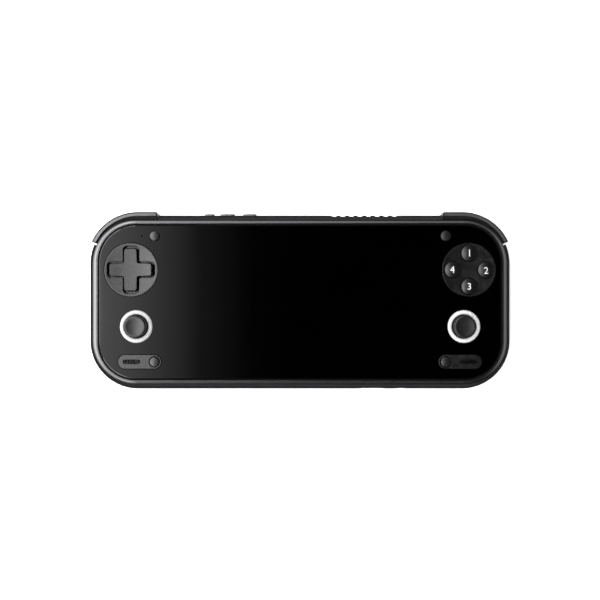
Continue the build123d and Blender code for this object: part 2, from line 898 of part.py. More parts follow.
def stick_lever():
    """Lever with a ball at the pivot and a pin along Y that turns in the yoke."""
    lever = Pos(0, 0, pivot_height) * Sphere(lever_ball_radius)
    lever += disc(0, 0, lever_radius, pivot_height, cap_top - lever_top_cover)
    lever += cross_pin(0, yoke_outer - seat_gap, True)
    return Pos(stick_x, stick_y, 0) * lever


def square_ring(inner_half, outer_half, half_tall):
    """Square ring round the pivot."""
    face = Rectangle(2 * outer_half, 2 * outer_half) - Rectangle(2 * inner_half, 2 * inner_half)
    return slab(face, pivot_height - half_tall, pivot_height + half_tall)


def stick_yoke():
    """Ring round the lever's ball, with bores along Y and trunnions along X."""
    yoke = square_ring(yoke_inner, yoke_outer, yoke_half_height)
    yoke -= cross_bore(yoke_outer + cut_overrun, True)
    yoke += cross_pin((yoke_inner + yoke_outer) / 2, saddle_outer - seat_gap, False)
    return Pos(stick_x, stick_y, 0) * yoke


def stick_saddle():
    """Ring that carries the yoke and moves down with it when the stick is pressed."""
    saddle = square_ring(saddle_inner, saddle_outer, saddle_half_height)
    saddle -= cross_bore(saddle_outer + cut_overrun, False)
    return Pos(stick_x, stick_y, 0) * saddle


def stick_housing():
    """Pressed box round the stick mechanism, with the click switch on its floor."""
    half = housing_half
    box = block(-half, half, -half, half, housing_bottom, housing_top)
    inner = half - housing_wall
    floor = housing_bottom + housing_wall
    box -= block(-inner, inner, -inner, inner, floor, housing_top - housing_top_plate)
    box -= disc(0, 0, housing_hole_radius, floor, housing_top + cut_overrun)
    switch_top = pivot_height - lever_ball_radius - click_switch_gap
    box += disc(0, 0, click_switch_radius, floor, switch_top)
    box += block(-switch_half, switch_half, -switch_half, switch_half, floor,
                 floor + switch_height)
    return Pos(stick_x, stick_y, 0) * box


# Shoulder buttons, triggers and keys

def corner_button(thickness, sweep, bottom, top, ear_top):
    """Shoulder button or trigger: a band round the corner with an ear on the pivot pin."""
    outer = shoulder_radius
    inner = outer - thickness
    face = corner_band(outer, inner, shoulder_end_x, sweep)
    end_corner = face.vertices().sort_by(Axis.X)[0:2].sort_by(Axis.Y)[-1]
    face = fillet(end_corner, shoulder_end_round)
    button = slab(face, bottom, top)
    edges = button.edges().group_by(Axis.Z)
    button = fillet(edges[0] + edges[-1], shoulder_edge_round)
    ear_bottom = bottom + ear_end_inset
    button += disc(ear_x, ear_y, ear_radius, ear_bottom, ear_top)
    button += block(ear_x - ear_neck_half, ear_x + ear_neck_half, ear_y,
                    corner_y + (inner + outer) / 2, ear_bottom, ear_top)
    button -= disc(ear_x, ear_y, shoulder_pin_radius + pin_gap, bottom - cut_overrun,
                   top + cut_overrun)
    return button


def shoulder_button():
    """Upper button of the corner: a raised crest, and a ledge that goes under the rim."""
    button = corner_button(shoulder_thickness, shoulder_sweep_angle, shoulder_bottom, shoulder_top,
                           shoulder_ledge)
    crest_inner = shoulder_radius - shoulder_crest_width
    ledge = corner_band(crest_inner, pocket_inner_radius,
                        shoulder_end_x - cut_overrun, 90)
    return button - slab(ledge, shoulder_ledge, shoulder_top + cut_overrun)


def trigger():
    """Lower button of the corner, behind the shoulder button."""
    return corner_button(trigger_thickness, trigger_sweep_angle, trigger_bottom, trigger_top,
                         trigger_top - ear_end_inset)


def shoulder_pin():
    """Steel pin that the shoulder button and trigger turn on."""
    return disc(ear_x, ear_y, shoulder_pin_radius, rear_floor, lip_bottom + pin_seat_depth)


def edge_key(x, width):
    """Pill-shaped key through the upper wall, with a flange inside it."""
    inner_face = half_height - wall_side
    outer_face = half_height + key_proud
    key = wall_prism(SlotOverall(width, key_height), x, widest_height,
                     inner_face - seat_gap - key_flange_depth, outer_face)
    key = fillet(key.edges().group_by(Axis.Y)[-1], key_edge_round)
    flange = SlotOverall(width + 2 * key_flange, key_height + 2 * key_flange)
    return key + wall_prism(flange, x, widest_height, inner_face - seat_gap - key_flange_depth,
                            inner_face - seat_gap)


def key_board():
    """Upright board behind the keys with one push switch for each."""
    flange_face = half_height - wall_side - seat_gap - key_flange_depth
    switch_face = flange_face - key_switch_gap
    board_face = switch_face - key_switch_depth
    low_x = power_key_x - key_board_margin
    high_x = volume_down_x + key_board_margin
    bottom = widest_height - key_height
    board = block(low_x, high_x, board_face - key_board_depth, board_face, bottom,
                  widest_height + key_height)
    for _, x, _ in keys():
        board += block(x - switch_half, x + switch_half, board_face, board_face +
                       key_switch_depth / 2, widest_height - switch_height,
                       widest_height + switch_height)
        board += wall_prism(Circle(switch_height / 2), x, widest_height, board_face, switch_face)
    return board


# Ports, boards and battery

def usb_port():
    """Charging port: a drawn metal shell with a contact tongue inside."""
    width = usb_opening_width - 2 * port_gap
    height = usb_opening_height - 2 * port_gap
    mouth = -half_height + usb_setback
    back = mouth + usb_depth
    port = wall_prism(SlotOverall(width, height), usb_x, widest_height, mouth, back)
    port -= wall_prism(SlotOverall(width - 2 * usb_shell_wall, height - 2 * usb_shell_wall),
                       usb_x, widest_height, mouth - cut_overrun, back - usb_tongue_setback)
    tongue = RectangleRounded(usb_tongue_width, usb_tongue_height, usb_tongue_height / 3)
    return port + wall_prism(tongue, usb_x, widest_height, mouth + usb_tongue_setback, back)


def headphone_jack():
    """Moulded jack body with a round bore behind the hole in the lower wall."""
    mouth = -half_height + wall_side
    body = RectangleRounded(jack_body_width, jack_body_height, jack_body_height / 8)
    jack = wall_prism(body, jack_x, widest_height, mouth, mouth + jack_body_length)
    return jack - wall_prism(Circle(jack_bore_radius), jack_x, widest_height,
                             mouth - cut_overrun, mouth + jack_bore_depth)


def main_board():
    """Main board under the mid plate, notched for the ports, with the processor below."""
    bottom_edge = main_board_bottom_inset - half_height
    board = block(-main_board_half, main_board_half, bottom_edge,
                  half_height - main_board_top_inset, board_bottom, board_top)
    usb_half = usb_opening_width / 2 + board_cut_gap
    jack_half = jack_body_width / 2 + board_cut_gap
    low = board_bottom - cut_overrun
    high = board_top + cut_overrun
    notch_low = bottom_edge - cut_overrun
    board -= block(usb_x - usb_half, usb_x + usb_half, notch_low,
                   -half_height + usb_setback + usb_depth + board_cut_gap, low, high)
    board -= block(jack_x - jack_half, jack_x + jack_half, notch_low,
                   -half_height + wall_side + jack_body_length + board_cut_gap, low, high)
    board -= [disc(x, y, small_screw_radius + seat_gap, low, high) for x, y in main_screws_at]
    half = chip_size / 2
    return board + block(fan_x - half, fan_x + half, fan_y - half, fan_y + half,
                         board_bottom - chip_height, board_bottom)


def control_board_blank():
    """Control board of the right side, cut round the stick, the speaker and the screw post."""
    low = control_board_bottom - cut_overrun
    high = control_board_top + cut_overrun
    outer = half_width - wall_side - control_board_outer_gap
    board = block(control_board_inner, outer, -control_board_half_height,
                  control_board_half_height, control_board_bottom, control_board_top)
    clear = (rear_cavity_half[0] - board_cut_gap, rear_cavity_half[1] - board_cut_gap)
    board &= slab(outline(clear, corner_radius - wall_side - board_cut_gap),
                  control_board_bottom, control_board_top)
    reach = housing_half + board_cut_gap
    board -= block(stick_x - reach, stick_x + reach, stick_y - reach, stick_y + reach, low, high)
    half_long = speaker_length / 2 + board_cut_gap
    half_wide = speaker_width / 2 + board_cut_gap
    board -= block(speaker_x - half_long, speaker_x + half_long, pill_y - half_wide,
                   pill_y + half_wide, low, high)
    board -= disc(side_screw_x, side_screw_y, boss_radius + board_cut_gap, low, high)
    pocket = corner_band(shoulder_radius, pocket_inner_radius,
                         shoulder_end_x - cut_overrun, 90)
    board -= slab(pocket, low, high)
    board -= disc(ear_x, ear_y, ear_radius + board_cut_gap, low, high)
    board -= [disc(x, y, small_screw_radius + seat_gap, low, high) for x, y in control_screws]
    for y in (upper_button_y, pill_y):
        board += switch_at(small_x if y == upper_button_y else pill_button_x, y)
    return board


def switch_at(x, y):
    """Push switch on the control board under a small button."""
    top = control_board_top + switch_height
    body = block(x - switch_half, x + switch_half, y - switch_half, y + switch_half,
                 control_board_top, top)
    return body + disc(x, y, switch_half / 2, top, top + button_gap)


def left_control_board():
    """Left control board with the post of the D-pad's pivot ball."""
    board = mirrored(control_board_blank())
    post_top = dpad_bottom - pivot_post_drop
    board += disc(-dish_x, dish_y, pivot_post_radius, control_board_top, post_top)
    return board - Pos(-dish_x, dish_y, dpad_bottom) * Sphere(pivot_ball_radius + pivot_ball_gap)


def battery():
    """Flat battery on the floor of the rear cover."""
    bottom = rear_floor + battery_seat
    length = battery_high[0] - battery_low[0]
    width = battery_high[1] - battery_low[1]
    face = RectangleRounded(length, width, battery_corner, align=(Align.MIN, Align.MIN))
    return Pos(*battery_low) * slab(face, bottom, bottom + battery_thickness)


# Fan and heat sink

def fan_housing():
    """Flat fan case with a round intake below, an outlet at +Y and the rotor's spindle."""
    half = fan_size / 2
    case = block(-half, half, -half, half, fan_bottom, fan_top)
    low = fan_bottom + fan_wall
    high = fan_top - fan_wall
    cavity = disc(0, 0, rotor_radius + fan_cavity_gap, low, high)
    cavity += block(-half + fan_wall, half - fan_wall, 0, half + cut_overrun, low, high)
    case -= cavity
    case -= disc(0, 0, fan_intake_radius, fan_bottom - cut_overrun, low)
    case += disc(0, 0, spindle_radius, low + rotor_end_gap + spindle_cover, high)
    return Pos(fan_x, fan_y, 0) * case


def rotor_blade():
    """One curved blade between the hub and the rim of the rotor."""
    arc = Pos(0, blade_arc_offset) * (Circle(blade_arc_radius + blade_thickness / 2)
                                      - Circle(blade_arc_radius - blade_thickness / 2))
    ring = Circle(rotor_radius) - Circle(rotor_hub_radius - blade_thickness)
    side = Pos(rotor_radius, 0) * Rectangle(2 * rotor_radius, 4 * rotor_radius)
    return arc & ring & side


def fan_rotor():
    """Rotor: a hub bored for the spindle and curved blades."""
    low = fan_bottom + fan_wall + rotor_end_gap
    high = fan_top - fan_wall - rotor_end_gap
    rotor = disc(0, 0, rotor_hub_radius, low, high)
    blade = slab(rotor_blade(), low, high)
    rotor += [Rot(0, 0, index * 360 / blade_count) * blade for index in range(blade_count)]
    rotor -= disc(0, 0, spindle_radius + pin_gap, low + spindle_cover - pin_gap,
                  high + cut_overrun)
    return Pos(fan_x, fan_y, 0) * rotor


def heat_sink():
    """Copper plate over the fan case, with a stack of fins behind the exhaust slots."""
    half = fan_size / 2
    plate_bottom = fan_top + heat_plate_clear
    plate_top = plate_bottom + heat_plate_thickness
    sink = block(fan_x - half, fan_x + half, fan_y - half, fin_edge, plate_bottom, plate_top)
    fin_start = fan_y + half + fin_gap
    span = fan_size - 2 * fan_wall
    for index in range(fin_count):
        x = fan_x - span / 2 + index * (span - fin_thickness) / (fin_count - 1)
        sink += block(x, x + fin_thickness, fin_start, fin_edge, fin_bottom, plate_top)
    return sink


# Fasteners

def rear_screws():
    """Flat-headed screws that hold the rear cover."""
    screws = []
    for x, y in rear_screws_at:
        head_top = screw_sink + screw_head_height
        head = disc(x, y, screw_head_radius, screw_sink, head_top)
        screws.append(head + disc(x, y, screw_radius, head_top, head_top + screw_length))
    return screws


def board_screws():
    """Pan-headed screws that hold the boards under the mid plate."""
    places = [(x, y, board_bottom) for x, y in main_screws_at]
    for x, y in control_screws:
        places += [(sign * x, y, control_board_bottom) for sign in (-1, 1)]
    screws = []
    for x, y, seat in places:
        head = disc(x, y, small_screw_head_radius, seat - small_screw_head_height, seat)
        screws.append(head + disc(x, y, small_screw_radius, seat, web_top - 2 * seat_gap))
    return screws


# All pieces by name

def pieces():
    """Every piece of the console by its name."""
    parts = {
        "front_glass": front_glass(),
        "mid_frame": mid_frame(),
        "rear_cover": rear_cover(),
        "display_panel": display_panel(),
        "dpad_dish": dpad_dish(),
        "dpad": dpad(),
        "dpad_pivot_ball": dpad_pivot_ball(),
        "dpad_membrane": dpad_membrane(),
        "face_button_dish": face_button_dish(),
        "face_button_membrane": face_button_membrane(),
        "left_control_board": left_control_board(),
        "right_control_board": control_board_blank(),
        "main_board": main_board(),
        "key_board": key_board(),
        "battery": battery(),
        "usb_port": usb_port(),
        "headphone_jack": headphone_jack(),
        "fan_housing": fan_housing(),
        "fan_rotor": fan_rotor(),
        "heat_sink": heat_sink(),
        "rear_screws": Compound(children=rear_screws()),
        "board_screws": Compound(children=board_screws()),
    }
    for name, place in button_places().items():
        parts["face_button_" + name] = face_button(place)
    for name, x, width in keys():
        parts[name] = edge_key(x, width)
    both_sides = {
        "light_ring": light_ring(),
        "stick_cap": stick_cap(),
        "stick_lever": stick_lever(),
        "stick_yoke": stick_yoke(),
        "stick_saddle": stick_saddle(),
        "stick_housing": stick_housing(),
        "pill_plate": pill_plate(),
        "speaker": speaker(),
        "upper_button": upper_button(),
        "lower_button": lower_button(),
        "shoulder_button": shoulder_button(),
        "trigger": trigger(),
        "shoulder_pin": shoulder_pin(),
    }
    for name, piece in both_sides.items():
        parts["right_" + name] = piece
        parts["left_" + name] = mirrored(piece)
    return parts


os.makedirs("parts", exist_ok=True)
for name, piece in pieces().items():
    export_step(piece, os.path.join("parts", name + ".step"))
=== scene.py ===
import math

import bmesh
import bpy
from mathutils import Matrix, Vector
from mathutils.bvhtree import BVHTree


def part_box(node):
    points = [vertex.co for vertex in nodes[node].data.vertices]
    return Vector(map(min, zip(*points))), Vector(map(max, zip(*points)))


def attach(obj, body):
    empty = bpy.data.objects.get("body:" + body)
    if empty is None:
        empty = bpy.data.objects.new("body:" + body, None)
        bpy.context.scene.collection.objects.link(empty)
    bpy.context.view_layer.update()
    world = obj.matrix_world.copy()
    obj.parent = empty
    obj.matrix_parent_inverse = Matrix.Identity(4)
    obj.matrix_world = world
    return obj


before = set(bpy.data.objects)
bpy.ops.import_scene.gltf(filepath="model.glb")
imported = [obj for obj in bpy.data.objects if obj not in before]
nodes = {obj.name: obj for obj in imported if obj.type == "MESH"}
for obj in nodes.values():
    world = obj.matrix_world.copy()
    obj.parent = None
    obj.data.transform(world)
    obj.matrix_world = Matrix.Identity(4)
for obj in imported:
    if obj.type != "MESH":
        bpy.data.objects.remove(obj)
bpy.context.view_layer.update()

# Rear cover: a black moulded shell that holds everything from behind. Its outside has a fine
# spark-eroded grain from the mould, slightly polished where fingers rest.
MM = 0.001


def new_material(name, roughness):
    """A material whose tree holds one shader, and the places along its surface."""
    material = bpy.data.materials.new(name)
    material.use_nodes = True
    tree = material.node_tree
    shader = tree.nodes["Principled BSDF"]
    shader.inputs["Roughness"].default_value = roughness
    place = tree.nodes.new("ShaderNodeTexCoord")
    return material, tree, shader, place.outputs["Object"]


def grain(tree, place, size, detail=3.0):
    """Soft random pattern whose spots are about so many metres across, from 0 to 1."""
    noise = tree.nodes.new("ShaderNodeTexNoise")
    noise.inputs["Scale"].default_value = 1 / size
    noise.inputs["Detail"].default_value = detail
    tree.links.new(place, noise.inputs["Vector"])
    return noise.outputs["Fac"]


def spread(tree, pattern, low, high, start=0.3, end=0.7):
    """A pattern stretched between two values."""
    stretch = tree.nodes.new("ShaderNodeMapRange")
    stretch.inputs["From Min"].default_value = start
    stretch.inputs["From Max"].default_value = end
    stretch.inputs["To Min"].default_value = low
    stretch.inputs["To Max"].default_value = high
    tree.links.new(pattern, stretch.inputs["Value"])
    return stretch.outputs["Result"]


def tint(tree, pattern, dark, light):
    """A colour that goes with a pattern from dark, a colour or another output, to light."""
    mix = tree.nodes.new("ShaderNodeMix")
    mix.data_type = "RGBA"
    tree.links.new(pattern, mix.inputs["Factor"])
    if isinstance(dark, tuple):
        mix.inputs["A"].default_value = (*dark, 1)
    else:
        tree.links.new(dark, mix.inputs["A"])
    mix.inputs["B"].default_value = (*light, 1)
    return mix.outputs["Result"]


def raise_surface(tree, shader, pattern, height, edge=None):
    """Bump of so many metres from a pattern, over edges rounded by so many metres."""
    bump = tree.nodes.new("ShaderNodeBump")
    bump.inputs["Distance"].default_value = height
    tree.links.new(pattern, bump.inputs["Height"])
    if edge:
        rounded = tree.nodes.new("ShaderNodeBevel")
        rounded.samples = 4
        rounded.inputs["Radius"].default_value = edge
        tree.links.new(rounded.outputs["Normal"], bump.inputs["Normal"])
    tree.links.new(bump.outputs["Normal"], shader.inputs["Normal"])


def moulded(name, dark, light, roughness, size, height, edge=0.1 * MM, specular=0.5):
    """Moulded plastic: its colour clouds slightly, and fine grain breaks up the shine."""
    cloud_size, wear_size = 9 * MM, 3 * MM
    material, tree, shader, place = new_material(name, roughness)
    clouds = spread(tree, grain(tree, place, cloud_size), 0, 1)
    tree.links.new(tint(tree, clouds, dark, light), shader.inputs["Base Color"])
    worn = spread(tree, grain(tree, place, wear_size, 5), roughness - 0.04, roughness + 0.05)
    tree.links.new(worn, shader.inputs["Roughness"])
    shader.inputs["Specular IOR Level"].default_value = specular
    raise_surface(tree, shader, grain(tree, place, size), height, edge)
    return material


def dress(material, *names):
    """Gives a finish to pieces that keep the shape they were cut or moulded in."""
    for name in names:
        nodes[name].data.materials.clear()
        nodes[name].data.materials.append(material)


rear_plastic = moulded("rear_plastic", (0.011, 0.011, 0.012), (0.017, 0.017, 0.018),
                       roughness=0.5, size=0.16 * MM, height=0.012 * MM, edge=0.2 * MM)
dress(rear_plastic, "rear_cover")

# Battery: a soft pouch cell in a plain dark grey wrap, stuck to the floor of the cover.
# The film is slightly wrinkled and shines along its folds.
battery_wrap = moulded("battery_wrap", (0.05, 0.05, 0.055), (0.075, 0.075, 0.08),
                       roughness=0.34, size=1.6 * MM, height=0.05 * MM, edge=0.3 * MM)
dress(battery_wrap, "battery")


# Cooling: a flat fan of black plastic draws air through the rear grille and blows it over
# copper fins, which are soldered to a copper plate and lightly tarnished.
def metal(name, dark, light, roughness, size, height, edge=0.06 * MM):
    """Metal with a fine surface grain, whose shine wanders a little."""
    cloud_size, wear_size = 6 * MM, 1.5 * MM
    material, tree, shader, place = new_material(name, roughness)
    clouds = spread(tree, grain(tree, place, cloud_size, 5), 0, 1)
    tree.links.new(tint(tree, clouds, dark, light), shader.inputs["Base Color"])
    worn = spread(tree, grain(tree, place, wear_size, 5), roughness - 0.05, roughness + 0.08)
    tree.links.new(worn, shader.inputs["Roughness"])
    shader.inputs["Metallic"].default_value = 1
    raise_surface(tree, shader, grain(tree, place, size), height, edge)
    return material


fan_plastic = moulded("fan_plastic", (0.012, 0.012, 0.013), (0.02, 0.02, 0.021),
                      roughness=0.42, size=0.12 * MM, height=0.008 * MM)
copper = metal("copper", (0.42, 0.19, 0.1), (0.66, 0.34, 0.2),
               roughness=0.32, size=0.2 * MM, height=0.006 * MM)
dress(fan_plastic, "fan_housing", "fan_rotor")
dress(copper, "heat_sink")


# Boards: glass-fibre sheet under green solder mask, with copper tracks that show as slightly
# raised lines. They are screwed under the mid plate with small steel screws.
def board_finish():
    """Solder mask over a net of tracks."""
    material, tree, shader, place = new_material("board_green", 0.3)
    tracks = tree.nodes.new("ShaderNodeTexBrick")
    tracks.inputs["Scale"].default_value = 1 / (5 * MM)
    tracks.inputs["Mortar Size"].default_value = 0.03
    tree.links.new(place, tracks.inputs["Vector"])
    colour = tint(tree, tracks.outputs["Fac"], (0.008, 0.05, 0.026), (0.02, 0.11, 0.05))
    tree.links.new(colour, shader.inputs["Base Color"])
    raise_surface(tree, shader, tracks.outputs["Fac"], 0.02 * MM)
    return material


steel = metal("steel", (0.42, 0.42, 0.43), (0.6, 0.6, 0.61),
              roughness=0.28, size=0.1 * MM, height=0.004 * MM)
dress(board_finish(), "main_board", "key_board", "left_control_board", "right_control_board")
dress(steel, "board_screws")

# Membranes: pads of grey silicone rubber that lie on the control boards, with a blunt dome under
# each face button and each arm of the D-pad. The rubber is matt and slightly dusty.
membrane_rubber = moulded("membrane_rubber", (0.1, 0.1, 0.105), (0.15, 0.15, 0.155),
                          roughness=0.65, size=0.3 * MM, height=0.01 * MM)
dress(membrane_rubber, "dpad_membrane", "face_button_membrane")

# Speakers: small black boxes behind the pill plates, each in an opening of the mid plate. Under
# each slot lies a strip of fine woven wire cloth that keeps dust out.
speaker_black = moulded("speaker_black", (0.008, 0.008, 0.008), (0.014, 0.014, 0.014),
                        roughness=0.5, size=0.15 * MM, height=0.01 * MM)
dress(speaker_black, "left_speaker", "right_speaker")
wire_steel = metal("wire_steel", (0.32, 0.32, 0.325), (0.44, 0.44, 0.445),
                   roughness=0.35, size=0.1 * MM, height=0.002 * MM, edge=None)


def finished(mesh, name, material, body):
    """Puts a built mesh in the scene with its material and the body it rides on."""
    data = bpy.data.meshes.new(name)
    mesh.to_mesh(data)
    mesh.free()
    data.materials.append(material)
    piece = bpy.data.objects.new(name, data)
    bpy.context.collection.objects.link(piece)
    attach(piece, body)
    return piece


def wire(mesh, points, radius, sides=6):
    """Round wire through a row of points."""
    rings = []
    for index, point in enumerate(points):
        ahead = points[min(index + 1, len(points) - 1)]
        behind = points[max(index - 1, 0)]
        along = (ahead - behind).normalized()
        across = along.cross(Vector((0, 0, 1))).normalized()
        over = across.cross(along)
        ring = []
        for step in range(sides):
            turn = step * math.tau / sides
            offset = across * math.cos(turn) + over * math.sin(turn)
            ring.append(mesh.verts.new(point + offset * radius))
        rings.append(ring)
    for one, two in zip(rings, rings[1:]):
        for step in range(sides):
            after = (step + 1) % sides
            mesh.faces.new((one[step], one[after], two[after], two[step]))
    mesh.faces.new(reversed(rings[0]))
    mesh.faces.new(rings[-1])


def speaker_cloth(side, sign):
    """Woven wire cloth under the speaker slot of one pill plate."""
    slot_offset, cloth_depth = 2.95 * MM, 0.14 * MM
    pitch, wave, radius = 0.36 * MM, 0.05 * MM, 0.05 * MM
    long_wires, short_wires = 5, 19
    plate_low, plate_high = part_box(side + "_pill_plate")
    middle = (plate_low + plate_high) / 2
    centre = Vector((middle.x + sign * slot_offset, middle.y, plate_low.z - cloth_depth))
    mesh = bmesh.new()
    for lengthwise, count, crossings in ((True, long_wires, short_wires),
                                         (False, short_wires, long_wires)):
        for index in range(count):
            shift = (index - (count - 1) / 2) * pitch
            points = []
            for step in range(crossings):
                along = (step - (crossings - 1) / 2) * pitch
                lift = wave if (index + step + lengthwise) % 2 else -wave
                x, y = (along, shift) if lengthwise else (shift, along)
                points.append(centre + Vector((x, y, lift)))
            wire(mesh, points, radius)
    return finished(mesh, side + "_speaker_cloth", wire_steel, "console")


for side, sign in (("left", -1), ("right", 1)):
    speaker_cloth(side, sign)


# Mid frame: one piece of dark anodised aluminium, bead-blasted all over. Its rim round the glass
# is cut last with a polished tool, so the chamfer is bright metal, with a painted highlight band
# across it; the crowned band stays satin.
def steps_of(tree, value, stops):
    """Value read from a row of stops, each a place and a share from 0 to 1."""
    ramp = tree.nodes.new("ShaderNodeValToRGB")
    elements = ramp.color_ramp.elements
    while len(elements) < len(stops):
        elements.new(0.5)
    for element, (where, share) in zip(elements, stops):
        element.position = where
        element.color = (share, share, share, 1)
    tree.links.new(value, ramp.inputs["Fac"])
    return ramp.outputs["Color"]


def facing_up(tree):
    """How far the surface faces up, from 0 at a wall to 1 on a flat top."""
    slope = tree.nodes.new("ShaderNodeNewGeometry")
    facing = tree.nodes.new("ShaderNodeSeparateXYZ")
    tree.links.new(slope.outputs["True Normal"], facing.inputs["Vector"])
    return facing.outputs["Z"]


def calculate(tree, operation, *values):
    """Result of an operation on outputs or numbers."""
    node = tree.nodes.new("ShaderNodeMath")
    node.operation = operation
    for socket, value in zip(node.inputs, values):
        if isinstance(value, (int, float)):
            socket.default_value = value
        else:
            tree.links.new(value, socket)
    return node.outputs["Value"]


def level_of(tree, place):
    """Height of each place above the rear face, in metres."""
    parts = tree.nodes.new("ShaderNodeSeparateXYZ")
    tree.links.new(place, parts.inputs["Vector"])
    return parts.outputs["Z"]


def frame_finish():
    """Blasted band, a smoother rim above it and bright cut metal on the rim's chamfer, with a painted
    highlight across it.
    """
    rim_level, chamfer_height, blend = 13.5 * MM, 0.5 * MM, 0.03 * MM
    material, tree, shader, place = new_material("frame_metal", 0.4)
    level = level_of(tree, place)
    high = spread(tree, level, 0, 1, rim_level - blend, rim_level + blend)
    across = spread(tree, level, 0, 1, rim_level, rim_level + chamfer_height)
    # Painted highlight: the cut metal is coloured brightest partway up the chamfer and fades towards
    # both ends, like the reflection on a rounded rim.
    shine = steps_of(tree, across, ((0, 0.06), (0.14, 0.16), (0.36, 0.62), (0.6, 1),
                                    (0.74, 0.8), (0.88, 0.3), (1, 0.06)))
    sloped = spread(tree, facing_up(tree), 1, 0, 0.955, 0.985)
    cut = calculate(tree, "MULTIPLY", shine, sloped)
    clouds = spread(tree, grain(tree, place, 12 * MM, 5), 0, 1)
    colour = tint(tree, clouds, (0.02, 0.02, 0.021), (0.026, 0.026, 0.027))
    colour = tint(tree, high, colour, (0.075, 0.075, 0.077))
    colour = tint(tree, cut, colour, (0.38, 0.38, 0.385))
    tree.links.new(colour, shader.inputs["Base Color"])
    tree.links.new(spread(tree, high, 0.45, 0.24, 0, 1), shader.inputs["Roughness"])
    shader.inputs["Metallic"].default_value = 1
    shader.inputs["Specular Tint"].default_value = (0.25, 0.25, 0.25, 1)
    raise_surface(tree, shader, grain(tree, place, 0.09 * MM), 0.004 * MM, 0.05 * MM)
    return material


dress(frame_finish(), "mid_frame")

# Display: a flat panel bonded to the back of the glass. It is switched off, so only a very dark
# grey shows through.
display_black = moulded("display_black", (0.0006, 0.0006, 0.0007), (0.001, 0.001, 0.0011),
                        roughness=0.2, size=0.4 * MM, height=0.001 * MM, edge=None)
dress(display_black, "display_panel")


# Front glass: one sheet of hardened glass over the whole front, printed black behind. Its edge is
# ground round and left finely matt, and faint smears from handling dull its face in places.
def glass_finish():
    """Polished black glass with faint smears and a ground edge."""
    material, tree, shader, place = new_material("glass_black", 0.04)
    clouds = spread(tree, grain(tree, place, 30 * MM), 0, 1)
    printed = tint(tree, clouds, (0.0001, 0.0001, 0.0001), (0.0002, 0.0002, 0.0002))
    tree.links.new(printed, shader.inputs["Base Color"])
    smears = spread(tree, grain(tree, place, 14 * MM, 6), 0.025, 0.06, 0.45, 0.8)
    up = facing_up(tree)
    ground = spread(tree, up, 0.4, 0, 0.93, 0.99)
    dimmed = spread(tree, up, 0.12, 0.5, 0.985, 0.9995)
    tree.links.new(dimmed, shader.inputs["Specular IOR Level"])
    tree.links.new(calculate(tree, "MAXIMUM", smears, ground), shader.inputs["Roughness"])
    shader.inputs["IOR"].default_value = 1.5
    return material


dress(glass_finish(), "front_glass")

# Control dishes and pill plates: satin black mouldings set in the glass, with a flange behind it.
# A fine even mould texture spreads the light over their hollows, and their rounded edges lose their
# reflection, which paints a dark outline of shade.
def rounded_up(tree, radius):
    """How far the surface faces up, with its edges read as rounded by the radius."""
    rounded = tree.nodes.new("ShaderNodeBevel")
    rounded.samples = 8
    rounded.inputs["Radius"].default_value = radius
    facing = tree.nodes.new("ShaderNodeSeparateXYZ")
    tree.links.new(rounded.outputs["Normal"], facing.inputs["Vector"])
    return facing.outputs["Z"]


def paint_edge_shade(material, radius):
    """Takes the reflection off a moulding's rounded edges, as far in as the radius, which paints a dark
    outline of shade.
    """
    tree = material.node_tree
    shine = steps_of(tree, rounded_up(tree, radius),
                     ((0, 0.8), (0.25, 0.8), (0.4, 0), (0.88, 0), (0.97, 1)))
    shader = tree.nodes["Principled BSDF"]
    tree.links.new(spread(tree, shine, 1, 1.5, 0, 1), shader.inputs["IOR"])


control_plastic = moulded("control_plastic", (0.002, 0.002, 0.0021), (0.003, 0.003, 0.0031),
                          roughness=0.27, size=0.1 * MM, height=0.004 * MM, edge=0.12 * MM)
paint_edge_shade(control_plastic, 0.35 * MM)
dress(control_plastic, "dpad_dish", "face_button_dish", "left_pill_plate", "right_pill_plate")

# D-pad: one moulded plus that rocks on a steel ball under its middle. It has the dishes' satin
# finish and the same painted shade on its edges.
pad_plastic = moulded("pad_plastic", (0.003, 0.003, 0.0031), (0.0042, 0.0042, 0.0044),
                      roughness=0.27, size=0.1 * MM, height=0.004 * MM, edge=0.15 * MM)
paint_edge_shade(pad_plastic, 0.4 * MM)
dress(pad_plastic, "dpad")
dress(steel, "dpad_pivot_ball")

# Buttons: domed and moulded in hard black plastic, silky on the face buttons and finely grained
# on the small ones. Each face button has one numeral printed in white on top of its dome.
button_plastic = moulded("button_plastic", (0.003, 0.003, 0.0031), (0.0042, 0.0042, 0.0044),
                         roughness=0.3, size=0.14 * MM, height=0.002 * MM, edge=0.1 * MM, specular=0.35)
grained_plastic = moulded("grained_plastic", (0.003, 0.003, 0.0031), (0.0042, 0.0042, 0.0044),
                          roughness=0.31, size=0.12 * MM, height=0.005 * MM, edge=0.1 * MM)
dress(grained_plastic, "left_upper_button", "left_lower_button", "right_upper_button",
      "right_lower_button")
print_white = moulded("print_white", (0.78, 0.78, 0.78), (0.86, 0.86, 0.86),
                      roughness=0.45, size=0.05 * MM, height=0.002 * MM, edge=None)


def surface_under(name):
    """The surface of a piece, to lay something else on."""
    data = nodes[name].data
    corners = [vertex.co for vertex in data.vertices]
    return BVHTree.FromPolygons(corners, [polygon.vertices for polygon in data.polygons])


